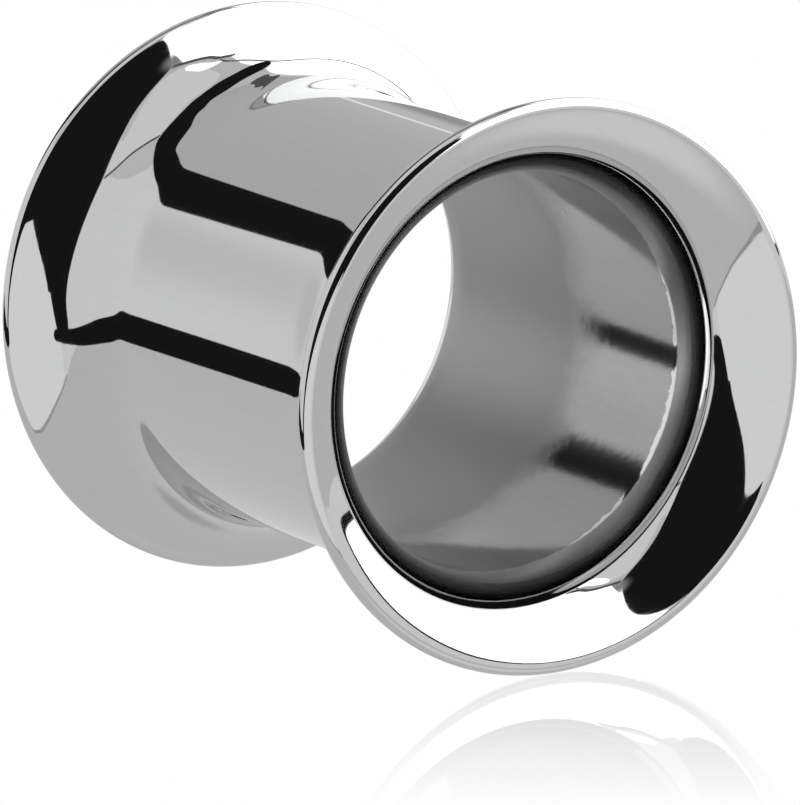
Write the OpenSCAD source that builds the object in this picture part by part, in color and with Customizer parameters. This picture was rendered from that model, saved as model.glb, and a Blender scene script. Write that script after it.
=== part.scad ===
// Double-flared ear tunnel: a plain round sleeve that opens into a rounded bell at each end.
// Lengths are in millimetres. The axis lies along Y, and the sleeve rests on its two rims at z = 0.

/* [Sleeve] */
// Outside diameter of the straight sleeve, which sits in the stretched lobe
sleeve_d = 10; // [8:0.1:11.5]
// Wall thickness of the straight sleeve
sleeve_wall = 0.5; // [0.4:0.05:0.9]
// Length over all, from rim to rim
length = 12.9; // [11:0.1:16]

/* [Flares] */
// Outside diameter of both flares
flare_d = 12.9; // [12.4:0.1:14]
// Radius of the rounded rim at the edge of a flare
rim_r = 0.2; // [0.1:0.02:0.3]
// Radius of the rounded bell that leads from the bore out to the rim
bell_r = 2.2; // [1.8:0.05:3]
// Radius of the hollow sweep that leads from the sleeve up to the rim
sweep_r = 2.3; // [2:0.1:4]

/* [Hidden] */
$fn = 96;
steel = [0.72, 0.73, 0.74];

sleeve_r = sleeve_d / 2;
bore_r = sleeve_r - sleeve_wall;
flare_r = flare_d / 2;
// Centre of the rim's round, as a radius and a height above the middle
rim_cr = flare_r - rim_r;
rim_cz = length / 2 - rim_r;
// Arcs that should only touch are moved until they cross by two or three of these, so that they always meet
touch = 0.00001;
// The bell's arc starts upright at the bore and touches the rim's round from outside
bell_cr = bore_r + bell_r;
bell_out = rim_cr - bell_cr;
bell_up = sqrt(pow(bell_r - rim_r, 2) - pow(bell_out, 2));
bell_cz = floor((rim_cz - bell_up) / touch - 2) * touch;
// The sweep's arc starts upright at the sleeve and touches the rim's round from below
sweep_cr = sleeve_r + sweep_r;
sweep_out = rim_cr - sweep_cr;
sweep_up = sqrt(pow(sweep_r + rim_r, 2) - pow(sweep_out, 2));
sweep_cz = ceil((rim_cz - sweep_up) / touch + 2) * touch;
// Where the bell touches the rim's round
bell_end = [bell_cr + bell_out * bell_r / (bell_r - rim_r), bell_cz + bell_up * bell_r / (bell_r - rim_r)];

// Straight-sided outline of the wall, with the hollow of the sweep still filled in
module wall_blank() {
  polygon([
    [bore_r, -bell_cz], [bell_end.x, -bell_end.y], [rim_cr, -rim_cz], [sweep_cr, -sweep_cz],
    [sweep_cr, sweep_cz], [rim_cr, rim_cz], bell_end, [bore_r, bell_cz]
  ]);
}

// The round of one bell, where it stands out beyond its chord
module bell_round() {
  intersection() {
    translate([bell_cr, bell_cz]) circle(r = bell_r);
    polygon([
      [bore_r, bell_cz], [sleeve_r, bell_cz], [rim_cr, rim_cz], bell_end, [bore_r, bell_end.y]
    ]);
  }
}

// Section of the wall, radius across and height up
module wall_section() {
  difference() {
    union() {
      wall_blank();
      bell_round();
      mirror([0, 1]) bell_round();
    }
    for (end = [-1, 1])
      translate([sweep_cr, end * sweep_cz]) circle(r = sweep_r);
    translate([sleeve_r, -sweep_cz]) square([2 * sweep_r, 2 * sweep_cz]);
  }
  for (end = [-1, 1])
    translate([rim_cr, end * rim_cz]) circle(r = rim_r);
}

module tunnel() {
  color(steel)
    translate([0, 0, flare_r])
      rotate([90, 0, 0])
        rotate_extrude() wall_section();
}

tunnel();
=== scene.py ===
"""Dresses the double-flared ear tunnel: a turned and polished steel sleeve with a drawn bore, in a pale tent.

Everything is in metres in the part's own frame. The axis lies along Y, and the two rims rest on the floor
at z = 0.
"""
import math

import bpy
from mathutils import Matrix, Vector


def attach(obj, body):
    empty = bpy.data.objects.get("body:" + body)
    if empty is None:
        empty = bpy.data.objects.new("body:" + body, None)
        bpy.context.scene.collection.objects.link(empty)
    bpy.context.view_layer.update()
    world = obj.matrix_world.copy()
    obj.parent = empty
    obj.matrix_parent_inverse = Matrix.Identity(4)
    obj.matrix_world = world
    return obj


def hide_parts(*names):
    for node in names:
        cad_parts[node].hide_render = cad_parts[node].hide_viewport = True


MM = 0.001
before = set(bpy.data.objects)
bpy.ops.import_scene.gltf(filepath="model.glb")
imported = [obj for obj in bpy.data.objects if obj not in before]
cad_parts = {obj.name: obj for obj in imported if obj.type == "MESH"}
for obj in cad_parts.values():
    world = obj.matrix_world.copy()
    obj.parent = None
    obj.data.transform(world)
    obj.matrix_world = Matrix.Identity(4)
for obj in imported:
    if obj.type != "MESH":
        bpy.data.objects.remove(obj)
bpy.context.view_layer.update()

# Sizes of the turned profile, in millimetres: radius from the axis, and distance along it from the middle
SLEEVE_R = 5.0          # outside of the straight sleeve
BORE_R = 4.5            # straight bore
FLARE_R = 6.45          # widest radius, at the rims
HALF = 6.45             # half of the length
RIM_R = 0.2             # round on the rims
BELL_R = 2.2            # round from the bore out to the rim
LIFT_Y = 3.15           # where the outside starts to lift off the straight sleeve
EASE = 1.45             # length over which it curves ever tighter, before it runs on evenly up to the rim
SWEEP_FROM, SWEEP_TO = 1.0, 4.0     # limits between which the tightest radius of that curve is found
AXIS_Z = FLARE_R        # height of the axis over the floor

# Steps of the turned mesh
TURNS = 288             # around the axis
RIM_STEPS, BELL_STEPS = 24, 48
LIFT_STRIDE = 8         # one in so many of the worked-out points of the lift is kept
WELD = 0.0005           # points nearer than this, in millimetres, are one

# Where the drawn finish of the bore, with its darker tint of painted shade, reaches, in millimetres
DRAWN_SHADE_RISE = 0.12       # it ends where the bell has risen this far from the bore
DRAWN_SHADE_Y = 5.2           # and at this distance from the middle at the latest

AXIS = Vector((0, 0, AXIS_Z * MM))


# Helpers

def clear_selection():
    if bpy.context.object and bpy.context.object.mode != "OBJECT":
        bpy.ops.object.mode_set(mode="OBJECT")
    bpy.ops.object.select_all(action="DESELECT")


def arc(centre, radius, start, end, steps):
    """Points along an arc of the profile, ends included. Angles in degrees, 0 pointing away from the axis."""
    return [(centre[0] + radius * math.cos(math.radians(start + (end - start) * i / steps)),
             centre[1] + radius * math.sin(math.radians(start + (end - start) * i / steps)))
            for i in range(steps + 1)]


def toward(lon, lat):
    """Direction with lon counted from +Y toward +X and lat up from level, both in degrees."""
    lon, lat = math.radians(lon), math.radians(lat)
    return Vector((math.sin(lon) * math.cos(lat), math.cos(lon) * math.cos(lat), math.sin(lat)))


# The turned sleeve

def lifted_line(tightest, step=0.01):
    """Outside from the straight sleeve up to the rim's round, its end angle, and how far it misses the rim."""
    points, r, y, angle, run = [], SLEEVE_R, LIFT_Y, 0.0, 0.0
    while r - RIM_R * math.cos(angle) < FLARE_R - RIM_R:
        points.append((r, y))
        angle += min(run / EASE, 1.0) / tightest * step
        r += math.sin(angle) * step
        y += math.cos(angle) * step
        run += step
    return points, angle, y + RIM_R * math.sin(angle) - (HALF - RIM_R)


def eased_sweep():
    """The lifted line that meets the rim's round without a corner. Halving finds its tightest radius."""
    low, high = SWEEP_FROM, SWEEP_TO
    for _ in range(40):
        middle = (low + high) / 2
        if lifted_line(middle)[2] > 0:
            high = middle
        else:
            low = middle
    points, angle, _ = lifted_line(low)
    return points[::LIFT_STRIDE], angle


def half_profile():
    """From the middle of the sleeve's outside, over the rim at +Y, to the middle of the bore."""
    rim = (FLARE_R - RIM_R, HALF - RIM_R)
    bell_out = rim[0] - (BORE_R + BELL_R)
    bell = (BORE_R + BELL_R, rim[1] - math.sqrt((BELL_R - RIM_R) ** 2 - bell_out ** 2))
    to_bell = math.degrees(math.atan2(rim[1] - bell[1], rim[0] - bell[0]))
    lift, end_angle = eased_sweep()
    outside = [(SLEEVE_R, y) for y in (0.0, LIFT_Y * 0.5, LIFT_Y - 0.4)] + lift
    over = arc(rim, RIM_R, -math.degrees(end_angle), to_bell, RIM_STEPS)
    inside = arc(bell, BELL_R, to_bell, 180, BELL_STEPS)[1:]
    inside += [(BORE_R, y) for y in (bell[1] - 0.05, bell[1] - 0.4, bell[1] * 0.5, 0.0)]
    return outside + over + inside


def turned_sleeve():
    """The whole section spun around the axis. Its points start as a circle's and are moved to their places."""
    clear_selection()
    half = half_profile()
    # mirrored to the other end, without doubling the two points at the middle
    section = half + [(r, -y) for r, y in reversed(half[1:-1])]
    bpy.ops.mesh.primitive_circle_add(vertices=len(section), radius=MM, fill_type="NOTHING", location=(0, 0, 0))
    sleeve = bpy.context.object
    sleeve.name = sleeve.data.name = "tunnel_sleeve"
    for vertex, (r, y) in zip(sleeve.data.vertices, section):
        vertex.co = Vector((0, y * MM, (AXIS_Z + r) * MM))
    bpy.ops.object.mode_set(mode="EDIT")
    bpy.ops.mesh.select_all(action="SELECT")
    bpy.ops.mesh.spin(steps=TURNS, angle=2 * math.pi, center=AXIS, axis=(0, 1, 0))
    bpy.ops.mesh.select_all(action="SELECT")
    bpy.ops.mesh.remove_doubles(threshold=WELD * MM)
    bpy.ops.mesh.normals_make_consistent(inside=False)
    bpy.ops.object.mode_set(mode="OBJECT")
    bpy.ops.object.shade_smooth()
    return sleeve


# Parts of the finishes

def new_group(name, inputs, outputs):
    """An empty node group with value sockets: the group, its input node and its output node."""
    group = bpy.data.node_groups.new(name, "ShaderNodeTree")
    for label, value in inputs:
        socket = group.interface.new_socket(label, in_out="INPUT", socket_type="NodeSocketFloat")
        socket.default_value = value
    for label in outputs:
        group.interface.new_socket(label, in_out="OUTPUT", socket_type="NodeSocketFloat")
    return group, group.nodes.new("NodeGroupInput"), group.nodes.new("NodeGroupOutput")


def joined(nodes, links, operation, first, second=0.0):
    """Two values joined by a sum, a product or the like. The second may be a plain number."""
    node = nodes.new("ShaderNodeMath")
    node.operation = operation
    for socket, value in zip(node.inputs, (first, second)):
        if isinstance(value, (int, float)):
            socket.default_value = value
        else:
            links.new(value, socket)
    return node.outputs["Value"]


def ranged(nodes, links, value, low, high, start=0.0, end=1.0):
    """value from start..end moved to low..high."""
    node = nodes.new("ShaderNodeMapRange")
    node.inputs["From Min"].default_value = start
    node.inputs["From Max"].default_value = end
    node.inputs["To Min"].default_value = low
    node.inputs["To Max"].default_value = high
    links.new(value, node.inputs["Value"])
    return node.outputs["Result"]


def noise(nodes, links, vector, scale, detail):
    """Soft noise over the given coordinates, scale in spots a metre."""
    node = nodes.new("ShaderNodeTexNoise")
    node.inputs["Scale"].default_value = scale
    node.inputs["Detail"].default_value = detail
    links.new(vector, node.inputs["Vector"])
    return node


def mixed_tint(nodes, links, mask, under, over):
    """The under colour where the mask is 0 and the over colour where it is 1. Each may be plain or a socket."""
    node = nodes.new("ShaderNodeMix")
    node.data_type = "RGBA"
    links.new(mask, node.inputs[0])
    # a Mix node keeps its two colours in sockets 6 and 7, and its colour result in output 2
    for socket, colour in ((node.inputs[6], under), (node.inputs[7], over)):
        if isinstance(colour, tuple):
            socket.default_value = (*colour, 1)
        else:
            links.new(colour, socket)
    return node.outputs[2]


def lathe_coordinates(nodes, links):
    """Object coordinates moved to the axis: the vector, the distance from the axis, and the place along it."""
    where = nodes.new("ShaderNodeTexCoord")
    centred = nodes.new("ShaderNodeMapping")
    centred.inputs["Location"].default_value = (0, 0, -AXIS_Z * MM)
    links.new(where.outputs["Object"], centred.inputs["Vector"])
    split = nodes.new("ShaderNodeSeparateXYZ")
    links.new(centred.outputs["Vector"], split.inputs["Vector"])
    across = nodes.new("ShaderNodeCombineXYZ")
    links.new(split.outputs["X"], across.inputs["X"])
    links.new(split.outputs["Z"], across.inputs["Z"])
    radius = nodes.new("ShaderNodeVectorMath")
    radius.operation = "LENGTH"
    links.new(across.outputs["Vector"], radius.inputs[0])
    return centred.outputs["Vector"], radius.outputs["Value"], split.outputs["Y"]


def polish_group():
    """Buffing left on turned steel: faint rings round the axis, soft ripple, and hairline wipes."""
    group, into, out = new_group(
        "buffed_turning",
        [("Rings per mm", 9.0), ("Ripple", 0.5), ("Wipes", 0.5)],
        ["Rings", "Height", "Wear"])
    nodes, links = group.nodes, group.links
    vector, radius, along = lathe_coordinates(nodes, links)

    ring_at = nodes.new("ShaderNodeCombineXYZ")
    links.new(radius, ring_at.inputs["X"])
    links.new(along, ring_at.inputs["Y"])
    rings = noise(nodes, links, ring_at.outputs["Vector"], 1.0, 3.0)
    links.new(joined(nodes, links, "MULTIPLY", into.outputs["Rings per mm"], 1 / MM), rings.inputs["Scale"])

    ripple = noise(nodes, links, vector, 420.0, 1.0)

    wipe_stretch = nodes.new("ShaderNodeMapping")
    wipe_stretch.inputs["Scale"].default_value = (7000, 900, 7000)
    wipe_stretch.inputs["Rotation"].default_value = (0.4, 0.2, 0.9)
    links.new(vector, wipe_stretch.inputs["Vector"])
    wipes = noise(nodes, links, wipe_stretch.outputs["Vector"], 1.0, 4.0)

    height = joined(nodes, links, "ADD",
                    joined(nodes, links, "MULTIPLY", ripple.outputs["Fac"], into.outputs["Ripple"]),
                    joined(nodes, links, "MULTIPLY", wipes.outputs["Fac"], into.outputs["Wipes"]))
    links.new(rings.outputs["Fac"], out.inputs["Rings"])
    links.new(height, out.inputs["Height"])
    links.new(wipes.outputs["Fac"], out.inputs["Wear"])
    return group


BUFFING = polish_group()
BUFFED_DEPTH = 0.001    # depth of ripple and wipes, in millimetres
PIT_DEPTH = 0.0016      # depth of the pits in the drawn bore, in millimetres


def steel(name, tint_low, tint_high, bump, ripple, wipes, roughness=None):
    """A steel finish: its tint varies with the wear, and the bump carries its ripple and wipes.

    A roughness of (low, high) varies with the rings. Without one it is left to be set afterwards.
    """
    material = bpy.data.materials.new(name)
    material.use_nodes = True
    nodes, links = material.node_tree.nodes, material.node_tree.links
    shader = nodes["Principled BSDF"]
    shader.inputs["Metallic"].default_value = 1.0
    shader.inputs["IOR"].default_value = 2.5
    buffing = nodes.new("ShaderNodeGroup")
    buffing.node_tree = BUFFING
    buffing.inputs["Ripple"].default_value = ripple
    buffing.inputs["Wipes"].default_value = wipes
    tint = mixed_tint(nodes, links, buffing.outputs["Wear"], tint_low, tint_high)
    links.new(tint, shader.inputs["Base Color"])
    if roughness is not None:
        ringed = ranged(nodes, links, buffing.outputs["Rings"], *roughness, 0.3, 0.7)
        links.new(ringed, shader.inputs["Roughness"])
    relief = nodes.new("ShaderNodeBump")
    relief.inputs["Strength"].default_value = bump
    relief.inputs["Distance"].default_value = BUFFED_DEPTH * MM
    links.new(buffing.outputs["Height"], relief.inputs["Height"])
    links.new(relief.outputs["Normal"], shader.inputs["Normal"])
    return material


def deepen_bore(material, near_rough, deep_rough, mouth_rough, deep_shade_tint, mouth_painted_light_tint):
    """Bore finish: polished at the near mouth, buffed behind it, left drawn further in, with ragged limits. Its
    darker tints are painted shade, and the mouth's paler tint is painted light.
    """
    nodes, links = material.node_tree.nodes, material.node_tree.links
    shader = nodes["Principled BSDF"]
    vector, _, along = lathe_coordinates(nodes, links)
    grain = noise(nodes, links, vector, 5000.0, 4.0).outputs["Fac"]
    patches = noise(nodes, links, vector, 700.0, 3.0).outputs["Fac"]

    # the drawn part fades in over the last 1.4 mm before the middle, where grain and patches fray its limit
    frayed = joined(nodes, links, "ADD",
                    joined(nodes, links, "MULTIPLY", grain, 0.7 * MM),
                    joined(nodes, links, "MULTIPLY", patches, 1.4 * MM))
    toward_mouth = joined(nodes, links, "SUBTRACT", frayed, along)
    inward = ranged(nodes, links, toward_mouth, 1.0, 0.0, 1.1 * MM, 2.5 * MM)
    # the polished part, which also takes a paler tint as painted light, reaches in to about 4.3 mm from the
    # middle, and the grain alone frays its limit
    edge = joined(nodes, links, "SUBTRACT", joined(nodes, links, "MULTIPLY", grain, 0.3 * MM), along)
    in_mouth = ranged(nodes, links, edge, 0.0, 1.0, 4.43 * MM, 4.47 * MM)

    rough = nodes.new("ShaderNodeMix")
    rough.inputs["B"].default_value = mouth_rough
    links.new(in_mouth, rough.inputs["Factor"])
    links.new(ranged(nodes, links, inward, near_rough, deep_rough), rough.inputs["A"])
    links.new(rough.outputs["Result"], shader.inputs["Roughness"])

    pitting = nodes.new("ShaderNodeBump")
    pitting.inputs["Distance"].default_value = PIT_DEPTH * MM
    links.new(grain, pitting.inputs["Height"])
    links.new(shader.inputs["Normal"].links[0].from_socket, pitting.inputs["Normal"])
    links.new(pitting.outputs["Normal"], shader.inputs["Normal"])

    # painted shade: the bore's tints are darker than the outside steel's, so that the bore looks dark inside
    near_tint = shader.inputs["Base Color"].links[0].from_socket
    drawn_shade_tint = mixed_tint(nodes, links, inward, near_tint, deep_shade_tint)
    # painted light: the mouth's tint is paler than the outside steel's, to lighten the reflections at the mouth
    links.new(mixed_tint(nodes, links, in_mouth, drawn_shade_tint, mouth_painted_light_tint), shader.inputs["Base Color"])


mirror_steel = steel("mirror_polished_steel", (0.54, 0.545, 0.55), (0.58, 0.58, 0.58),
                     bump=0.3, ripple=0.5, wipes=0.3, roughness=(0.02, 0.05))
# the bore steel's low tints, and the deep tint below, are painted shade
drawn_steel_painted_shade = steel("drawn_bore_steel_painted_shade", (0.35, 0.35, 0.355), (0.39, 0.39, 0.39),
                    bump=0.4, ripple=0.6, wipes=0.6)
# the mouth tint is painted light
deepen_bore(drawn_steel_painted_shade, near_rough=0.13, deep_rough=0.48, mouth_rough=0.08,
            deep_shade_tint=(0.40, 0.40, 0.405), mouth_painted_light_tint=(0.72, 0.72, 0.725))

tunnel = turned_sleeve()
tunnel.data.materials.append(mirror_steel)
tunnel.data.materials.append(drawn_steel_painted_shade)
# faces in the bore take the drawn steel, whose darker tint is painted shade
for face in tunnel.data.polygons:
    offset = face.center - AXIS
    if math.hypot(offset.x, offset.z) < (BORE_R + DRAWN_SHADE_RISE) * MM and abs(offset.y) < DRAWN_SHADE_Y * MM:
        face.material_index = 1
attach(tunnel, "root")
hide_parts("tunnel")


# Studio: cards that are seen only in the steel. Their outlines are directions from the part's middle.

PATCH_EDGE = 0.12       # where the fade of a soft patch starts, counted from its middle, with its side at 0.5


def oval_group():
    """Mask over a card's own map: full in the middle and fading out to an oval edge."""
    group, into, out = new_group("soft_oval", [("Edge", 0.3)], ["Mask"])
    nodes, links = group.nodes, group.links
    where = nodes.new("ShaderNodeTexCoord")
    from_middle = nodes.new("ShaderNodeVectorMath")
    from_middle.operation = "DISTANCE"
    from_middle.inputs[1].default_value = (0.5, 0.5, 0)
    links.new(where.outputs["UV"], from_middle.inputs[0])
    fade = nodes.new("ShaderNodeMapRange")
    fade.interpolation_type = "SMOOTHERSTEP"
    fade.inputs["From Max"].default_value = 0.5
    fade.inputs["To Min"].default_value = 1.0
    fade.inputs["To Max"].default_value = 0.0
    links.new(into.outputs["Edge"], fade.inputs["From Min"])
    links.new(from_middle.outputs["Value"], fade.inputs["Value"])
    links.new(fade.outputs["Result"], out.inputs["Mask"])
    return group


SOFT_OVAL = oval_group()


def glow(name, level, soft_edge=None):
    """Light of one even level. A soft edge, from 0 to 0.5, lets it fade out toward the sides of its card."""
    material = bpy.data.materials.new(name)
    material.use_nodes = True
    nodes, links = material.node_tree.nodes, material.node_tree.links
    nodes.clear()
    emit = nodes.new("ShaderNodeEmission")
    emit.inputs["Color"].default_value = (1, 1, 1, 1)
    emit.inputs["Strength"].default_value = level
    out = nodes.new("ShaderNodeOutputMaterial")
    if soft_edge is None:
        links.new(emit.outputs["Emission"], out.inputs["Surface"])
        return material
    oval = nodes.new("ShaderNodeGroup")
    oval.node_tree = SOFT_OVAL
    oval.inputs["Edge"].default_value = soft_edge
    clear = nodes.new("ShaderNodeBsdfTransparent")
    blend = nodes.new("ShaderNodeMixShader")
    links.new(oval.outputs["Mask"], blend.inputs["Fac"])
    links.new(clear.outputs["BSDF"], blend.inputs[1])
    links.new(emit.outputs["Emission"], blend.inputs[2])
    links.new(blend.outputs["Shader"], out.inputs["Surface"])
    return material


def rounded(outline, rounds):
    """A closed outline with its corners cut again and again, so that its edges run as smooth curves."""
    for _ in range(rounds):
        cut = []
        for here, there in zip(outline, outline[1:] + outline[:1]):
            cut.append(tuple(0.75 * a + 0.25 * b for a, b in zip(here, there)))
            cut.append(tuple(0.25 * a + 0.75 * b for a, b in zip(here, there)))
        outline = cut
    return outline


def hang(made, name, material):
    """Names a card, gives it its light and leaves it to be seen only in reflections."""
    made.name = made.data.name = name
    made.data.materials.append(material)
    made.visible_camera = made.visible_diffuse = made.visible_shadow = False


def hung_card(name, material, centre, distance, outline, rounds=3):
    """A flat card hung square to one direction, cut to an outline given as directions (lon, lat)."""
    facing = toward(*centre)
    directions = [toward(*corner) for corner in rounded(outline, rounds)]
    clear_selection()
    bpy.ops.mesh.primitive_circle_add(vertices=len(directions), radius=MM, fill_type="NGON", location=(0, 0, 0))
    made = bpy.context.object
    for vertex, direction in zip(made.data.vertices, directions):
        vertex.co = AXIS + direction * (distance / direction.dot(facing))
    hang(made, name, material)


def band(points, width):
    """Outline of a strip of even angular width along (lon, lat) points."""
    upper, lower = [], []
    for i, (lon, lat) in enumerate(points):
        before, after = points[max(i - 1, 0)], points[min(i + 1, len(points) - 1)]
        squash = math.cos(math.radians(lat))
        run, rise = (after[0] - before[0]) * squash, after[1] - before[1]
        size = math.hypot(run, rise)
        upper.append((lon - rise / size * width / 2 / squash, lat + run / size * width / 2))
        lower.append((lon + rise / size * width / 2 / squash, lat - run / size * width / 2))
    return upper + lower[::-1]


def soft_patch(name, level, centre, distance, wide, high):
    """A card with a soft oval edge, hung square to one direction. Half width and half height are in degrees."""
    clear_selection()
    bpy.ops.mesh.primitive_plane_add(size=2 * MM, location=(0, 0, 0))
    made = bpy.context.object
    facing = toward(*centre)
    across = facing.cross(Vector((0, 0, 1))).normalized() * math.tan(math.radians(wide))
    upward = across.cross(facing).normalized() * math.tan(math.radians(high))
    for vertex in made.data.vertices:
        side, rise = vertex.co.x / MM, vertex.co.y / MM
        vertex.co = AXIS + (facing + across * side + upward * rise) * distance
    hang(made, name, glow(name + "_light", level, PATCH_EDGE))


# levels of light
black = glow("black_card", 0.012)
charcoal = glow("charcoal_line", 0.12)
grey = glow("grey_card", 0.64)
dim = glow("dim_card", 0.78)
low = glow("low_tent_light", 0.74)
pale = glow("pale_card", 1.06)
bright = glow("soft_box_face", 2.4)
thin_line = glow("thin_grey_line", 0.45)

# black board on the camera's side
hung_card("front_black_board", black, (-143, 30), 0.9, [
    (172, -2), (174, -0.5), (178, 3.8), (183, 7.4), (188, 9), (198, 9.8), (208, 9.4), (220, 7.6),
    (231, 4), (238, 0), (242, -4), (247, -9), (251, -14), (254, -18.5), (258, -21), (265, -21),
    (266, -14), (262, -7), (260.5, 0), (260.5, 10), (261, 25), (260, 36), (258, 42), (253, 47.5),
    (246, 53), (238, 57), (230, 59.5), (220, 62), (208, 64), (195, 65), (185, 64.5), (178, 63),
    (174, 59), (171, 54), (169, 50), (167.5, 45), (166, 38), (164.5, 30), (163.5, 22), (163, 14),
    (163.5, 8), (167, 2)])
soft_patch("board_corner_shine", 0.35, (168, 60), 1.08, 9, 10)
# dark strip low on the left, which starts at the foot of that board
hung_card("left_low_strip", black, (-65, -13), 0.08, [
    (-107, -15.3), (-99, -14.9), (-91.2, -14.6), (-83.6, -14.1), (-77.2, -13), (-68, -11.3),
    (-59, -9.5), (-49.9, -8.4), (-41.5, -7.4), (-37.6, -5.6), (-36.2, -5.7), (-34.2, -6.2),
    (-29, -7.2), (-24, -9), (-24, -13), (-29, -14.2), (-33, -14), (-36, -13.9), (-41, -15.6),
    (-49.9, -16.9), (-58.9, -18.3), (-67.9, -19.3), (-77, -20.2), (-83.5, -20.3), (-91.1, -20.3),
    (-98.9, -19.9), (-107, -19.3)])
# black frame behind: a leaning bar that turns over into an arch
hung_card("rear_black_frame", black, (-12, 48), 0.1, [
    (-48.4, 56), (-44.5, 50.8), (-40.8, 46.2), (-36, 40.3), (-31.7, 35.2), (-28.3, 31.4),
    (-26.8, 28.4), (-26.2, 25.6), (-25.6, 23), (-23, 18.5), (-14, 12), (-4, 7), (2, 7), (4, 11),
    (-4, 20), (-10, 26), (-15.2, 31.6), (-16.2, 34), (-17.2, 36.6), (-19, 39.8), (-21, 42.5),
    (-20.6, 45.4), (-16, 48.5), (-12.3, 51), (-12, 54.5), (-9, 58.2), (-3, 58.6), (2, 61.4),
    (8.2, 61.2), (15.5, 60), (23, 59.9), (31, 59.3), (40, 57.4), (47, 55.3), (56, 56), (60, 60),
    (53, 66), (42, 69), (31, 71.8), (20, 73.4), (11, 73.6), (2, 73.6), (-7, 73.2), (-14.5, 73),
    (-22, 71.6), (-30.5, 69), (-39, 65.8), (-45.5, 62), (-48.8, 58.6)])
hung_card("rear_grey_screen", grey, (0, 40), 1.0, [
    (-34, 50), (-22, 38), (-8, 22), (2, 9), (12, 2), (22, -8), (26, -18), (34, -20), (38.5, -12),
    (39, 5), (39, 20), (38, 32), (37, 42), (31, 50), (24, 56), (10, 66), (-10, 64), (-28, 58)])
hung_card("rear_side_shade", charcoal, (32, 44), 0.98, [
    (24, 36), (29, 39), (25.5, 43), (29, 46.5), (28, 50.5), (34, 52), (41, 49.5), (36.5, 45),
    (40, 41), (32, 38.5)], 1)
soft_patch("left_far_shade", 0.78, (-27, 9), 0.98, 9, 19)
soft_patch("rear_low_shade", 0.34, (34, -3), 0.98, 8, 13)
# small card straight behind, which the table mirrors to the camera
hung_card("rear_window", pale, (32.1, 12.6), 0.96, [
    (31.1, 12), (33.1, 12), (33.1, 13.2), (31.1, 13.2)], rounds=0)
# dim roof of the tent, with the dark seam where it meets the left wall
hung_card("tent_roof", dim, (-60, 88), 1.1, [
    (-100, 42), (-93, 47), (-89, 50.5), (-83, 54.5), (-77.5, 57), (-70, 59), (-62, 60.5),
    (-52, 61.5), (-30, 76), (0, 77), (30, 76), (60, 78), (90, 82), (130, 80), (160, 74), (185, 66),
    (215, 66), (240, 62), (258, 52)])
hung_card("tent_seam", charcoal, (-75, 55), 1.0, band([
    (-101, 41.5), (-93.3, 46.7), (-88.9, 50.5), (-83.3, 54.4), (-77.8, 56.7), (-70, 58.9),
    (-62.2, 60.5), (-50, 61.5)], 1.5))
# soft box on the right, with its dark frame along the bottom and the top
hung_card("right_soft_box", bright, (108, 38), 0.78, [
    (53, 10), (60, 5), (70, 2), (84, 0.4), (91, 0), (100.5, -0.6), (111.8, -1.9), (115.5, -1.8),
    (119, 0.9), (125.5, 4), (133, 7.8), (140.5, 9.9), (145, 10.6), (155.5, 9.6), (162, 8.5),
    (163, 13), (163.5, 22), (164.5, 30), (166, 38), (168, 45), (170, 51), (173, 57), (176, 61),
    (172, 65), (165, 68), (158, 69.5), (148, 71), (138, 72), (127, 73.6), (118, 73), (108, 71.7),
    (90, 72), (70, 70), (58, 64), (50, 56), (42, 50), (39.5, 40), (39.5, 30), (41, 22), (46, 15)])
hung_card("soft_box_sill", black, (125, 4), 0.76, band([
    (84, 0), (91, -0.4), (100.5, -1), (111.8, -2.3), (115.5, -2.3), (119, 0.5), (125.5, 3.6),
    (133, 7.4), (140.5, 9.5), (145, 10.2), (155.5, 9.2), (163, 7.4), (168, 4)], 1.5))
hung_card("soft_box_side", charcoal, (70, 45), 0.76, band([
    (118, 74.5), (103, 75.3), (85, 72.5), (68, 64.5), (60, 56), (59.3, 50), (61.3, 45), (64.5, 36),
    (65.7, 29), (64.5, 20), (61, 13), (56, 8)], 1.1))
hung_card("soft_box_head", charcoal, (140, 70), 0.76, band([
    (105, 70), (108, 71.7), (118, 73), (127, 73.6), (138, 72), (148, 71), (158, 69.5), (165.5, 68),
    (172, 65.5), (177, 63)], 2.0))
hung_card("upper_light", bright, (140, 77), 0.99, [
    (105, 74), (118, 76), (130, 76.5), (145, 75), (158, 73), (170, 70), (172, 74), (160, 79),
    (140, 81.5), (115, 80)])
# light that comes up from below: dim, with a paler foreground behind a thin grey line,
# and a soft shade under the part
hung_card("low_tent", low, (0, -90), 0.7, [
    (172, -25.7), (180.5, -30), (195.5, -35.7), (208, -39), (220.5, -40.7), (235.5, -40),
    (250.5, -37), (260.5, -32), (268, -26), (275, -21.5), (290, -19), (305, -17), (325, -14),
    (345, -12), (5, -10), (30, -8), (60, -7), (90, -6), (120, -6), (140, -10), (155, -17),
    (164, -22)], rounds=0)
hung_card("foreground_line", thin_line, (216, -36), 0.6, band([
    (165, -22), (172, -25.7), (180.5, -30), (195.5, -35.7), (208, -39), (220.5, -40.7),
    (235.5, -40), (250.5, -37), (260.5, -32)], 0.9))
hung_card("foreground", pale, (215, -15), 1.05, [
    (166, -20), (172, -25.7), (180.5, -30), (195.5, -35.7), (208, -39), (220.5, -40.7),
    (235.5, -40), (250.5, -37), (258, -30), (256, -20), (244, -3), (230, 8), (205, 14), (180, 9),
    (168, -2)])
soft_patch("shade_under_part", 0.54, (18, -61), 0.5, 17, 11)
soft_patch("low_right_light", 0.96, (150, -46), 0.5, 32, 24)

# Table: clean white, with a clear reflection only in front of the near flare

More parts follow.
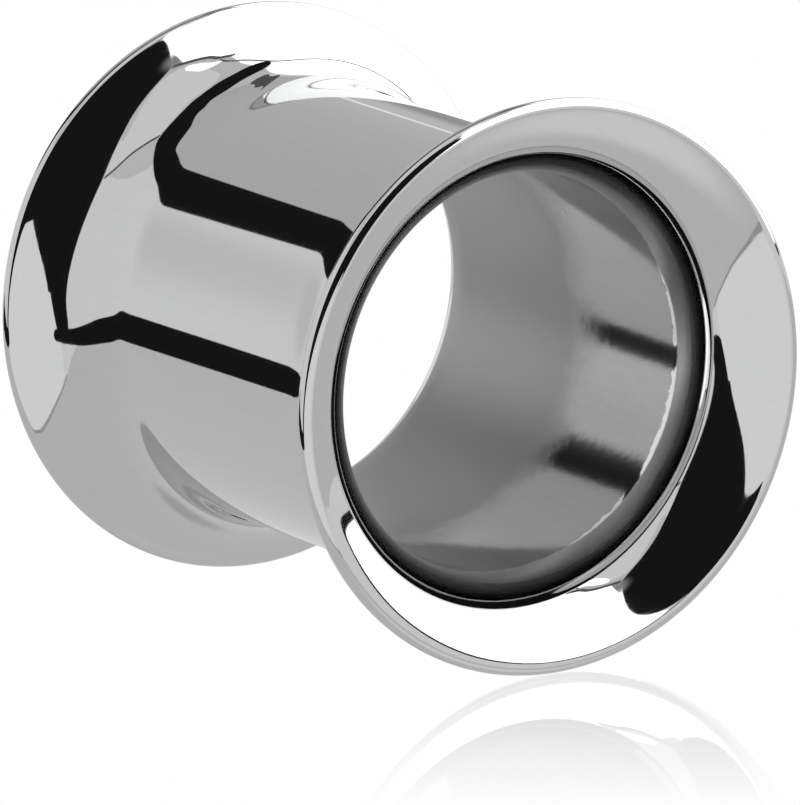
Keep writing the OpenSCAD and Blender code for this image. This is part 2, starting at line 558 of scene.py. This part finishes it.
CAMERA_TURN, CAMERA_RISE = 32.06, 12.6      # the camera's side step from the axis and its height, in degrees
SIDE_SLIDE, DROP_SLIDE = 0.626, 0.264       # how far its view runs aside and down for each step along the axis
SHINE = 0.32                                # strength of the reflection where it is strongest
SHINE_FADE = 7.0 * MM, 18.0 * MM            # distances toward the camera between which it fades out
SHINE_START = 6.2 * MM, 6.3 * MM            # it starts between these distances from the middle
SHINE_RADIUS = 6.47 * MM, 6.53 * MM         # and ends at the outline of the near flare's own mirror image


def table_finish():
    """White light, mixed with gloss inside the outline of the near flare's mirror image."""
    material = bpy.data.materials.new("pale_gloss_table")
    material.use_nodes = True
    nodes, links = material.node_tree.nodes, material.node_tree.links
    nodes.clear()
    lit = nodes.new("ShaderNodeEmission")
    lit.inputs["Color"].default_value = (1, 1, 1, 1)
    lit.inputs["Strength"].default_value = 1.0
    shine = nodes.new("ShaderNodeBsdfGlossy")
    shine.inputs["Color"].default_value = (1, 1, 1, 1)
    shine.inputs["Roughness"].default_value = 0.005
    where = nodes.new("ShaderNodeTexCoord")

    def measured(direction, offset=0.0):
        """Distance in one direction over the table."""
        node = nodes.new("ShaderNodeVectorMath")
        node.operation = "DOT_PRODUCT"
        node.inputs[1].default_value = direction
        links.new(where.outputs["Object"], node.inputs[0])
        return joined(nodes, links, "ADD", node.outputs["Value"], offset)

    turn = math.radians(CAMERA_TURN)
    nearer = measured((-math.sin(turn), -math.cos(turn), 0))
    across = measured((1, -SIDE_SLIDE, 0), -SIDE_SLIDE * HALF * MM)
    down = measured((0, DROP_SLIDE, 0), (DROP_SLIDE * HALF + AXIS_Z) * MM)
    from_centre = joined(nodes, links, "SQRT", joined(
        nodes, links, "ADD",
        joined(nodes, links, "MULTIPLY", across, across),
        joined(nodes, links, "MULTIPLY", down, down)))
    patch = joined(nodes, links, "MULTIPLY",
                   ranged(nodes, links, nearer, SHINE, 0.0, *SHINE_FADE),
                   ranged(nodes, links, from_centre, 1.0, 0.0, *SHINE_RADIUS))
    patch = joined(nodes, links, "MULTIPLY", patch,
                   ranged(nodes, links, measured((0, -1, 0)), 0.0, 1.0, *SHINE_START))
    blend = nodes.new("ShaderNodeMixShader")
    links.new(patch, blend.inputs["Fac"])
    links.new(lit.outputs["Emission"], blend.inputs[1])
    links.new(shine.outputs["BSDF"], blend.inputs[2])
    links.new(blend.outputs["Shader"], nodes.new("ShaderNodeOutputMaterial").inputs["Surface"])
    return material


clear_selection()
bpy.ops.mesh.primitive_plane_add(size=3.0, location=(0, 0, -0.01 * MM))
table = bpy.context.object
table.name = table.data.name = "pale_table"
table.data.materials.append(table_finish())
# the steel sees the cards below it instead
table.visible_glossy = False

# light of the tent all round, behind the cards
world = bpy.data.worlds.new("tent")
bpy.context.scene.world = world
world.use_nodes = True
world.node_tree.nodes["Background"].inputs["Color"].default_value = (1, 1, 1, 1)
world.node_tree.nodes["Background"].inputs["Strength"].default_value = 0.96


# Camera, at the photograph's angle

LENS, SENSOR = 895.7, 36.0
DISTANCE = 68.91 * FLARE_R * MM
FRAME_WIDE, FRAME_HIGH = 800, 805
MIDDLE_AT = (398.0, 335.3)                  # pixel on which the middle of the part falls
FOCAL_PIXELS = LENS / SENSOR * FRAME_HIGH

ahead = -toward(CAMERA_TURN - 180, CAMERA_RISE)
right = ahead.cross(Vector((0, 0, 1))).normalized()
up = right.cross(ahead)
aside = (MIDDLE_AT[0] - FRAME_WIDE / 2) / FOCAL_PIXELS * DISTANCE
above = (MIDDLE_AT[1] - FRAME_HIGH / 2) / FOCAL_PIXELS * DISTANCE
camera_data = bpy.data.cameras.new("camera")
camera_data.lens = LENS
camera_data.sensor_width = SENSOR
camera_data.clip_start, camera_data.clip_end = 0.01, 10
camera = bpy.data.objects.new("camera", camera_data)
bpy.context.scene.collection.objects.link(camera)
camera.location = AXIS - ahead * DISTANCE - right * aside + up * above
camera.rotation_euler = ahead.to_track_quat("-Z", "Y").to_euler()
bpy.context.scene.camera = camera
bpy.context.scene.view_settings.view_transform = "Standard"
